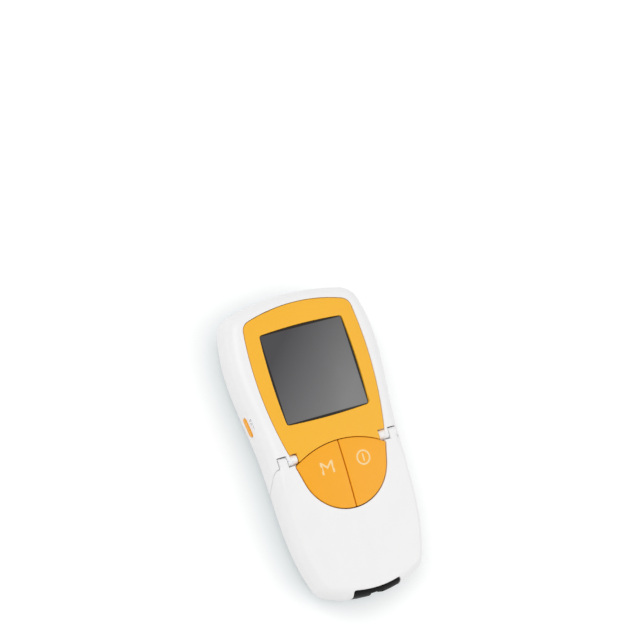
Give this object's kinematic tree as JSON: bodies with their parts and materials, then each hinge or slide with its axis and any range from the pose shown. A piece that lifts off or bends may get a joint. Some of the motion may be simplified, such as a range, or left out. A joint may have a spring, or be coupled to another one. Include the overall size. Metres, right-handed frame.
{
  "type": "blood glucose meter",
  "caption": "Hand-held blood glucose meter with a square display, shield-shaped keys, a hinged measuring-chamber flap, a pull-out strip guide and a sliding battery cover.",
  "frame": {"origin": "centre of the footprint, on the plane the meter's back lies on", "axes": "+Y from the test strip end to the display end, +Z out of the front face, +X to the right of someone who reads the display"},
  "size_m": [0.0812, 0.1555, 0.03],
  "materials": {
    "white_shell": "satin white",
    "orange_panel": "satin orange",
    "orange_key": "satin orange",
    "window": "glossy grey",
    "hull": "satin blue-grey",
    "black_plastic": "matte black",
    "deck": "matte dark grey",
    "holder": "matte white",
    "silicone": "matte",
    "dark_rubber": "matte",
    "steel": "plain",
    "contact": "bright",
    "cell_jacket": "printed film",
    "heater": "satin",
    "clear_glass": "clear",
    "display_glass": "glossy",
    "lamp": "clear",
    "board": "solder mask",
    "chip": "matte black",
    "film": "amber film",
    "dark_window": "dark red",
    "sounder": "plain",
    "label": "matte silver"
  },
  "bodies": {
    "meter": {"front_housing": "white_shell", "bezel": "orange_panel", "display_lens": "window", "rear_housing": "hull", "battery_cells": "cell_jacket", "battery_springs": "contact", "battery_plates": "contact", "chamber_deck": "deck", "hinge_pins": "steel", "heater_plate": "heater", "measuring_window": "clear_glass", "optics_block": "black_plastic", "light_source": "lamp", "light_sensor": "chip", "optics_board": "board", "code_reader": "black_plastic", "flap_switch": "black_plastic", "ribbon_cable": "film", "main_board": "board", "board_chips": "chip", "lcd_panel": "display_glass", "lcd_holder": "holder", "lcd_connectors": "silicone", "keypad_mat": "silicone", "key_domes": "steel", "set_switch": "black_plastic", "buzzer": "sounder", "infrared_window": "dark_window", "infrared_transceiver": "chip", "housing_screws": "steel", "rating_plate": "label"},
    "flap_unit": {"flap": "white_shell", "flap_gasket": "dark_rubber", "strip_presser": "dark_rubber"},
    "memory_key": {"memory_button": "orange_key"},
    "power_key": {"power_button": "orange_key"},
    "set_key": {"set_button": "orange_key"},
    "cover": {"battery_cover": "hull"},
    "guide": {"strip_guide": "black_plastic"}
  },
  "joints": [
    {"name": "flap_hinge", "type": "hinge", "parent": "meter", "child": "flap_unit", "pos_m": [0, -0.0042, 0.0264], "axis": [-1, 0, 0], "range_deg": [0, 80]},
    {"name": "memory_press", "type": "slide", "parent": "meter", "child": "memory_key", "axis": [0, 0, -1], "range_m": [0, 0.0006], "stiffness_N_per_m": 1500},
    {"name": "power_press", "type": "slide", "parent": "meter", "child": "power_key", "axis": [0, 0, -1], "range_m": [0, 0.0006], "stiffness_N_per_m": 1500},
    {"name": "set_press", "type": "slide", "parent": "meter", "child": "set_key", "axis": [1, 0, 0], "range_m": [0, 0.0006], "stiffness_N_per_m": 1500},
    {"name": "cover_slide", "type": "slide", "parent": "meter", "child": "cover", "axis": [0, 1, 0], "range_m": [0, 0.05]},
    {"name": "guide_slide", "type": "slide", "parent": "meter", "child": "guide", "axis": [0, -1, 0], "range_m": [0, 0.04]}
  ]
}
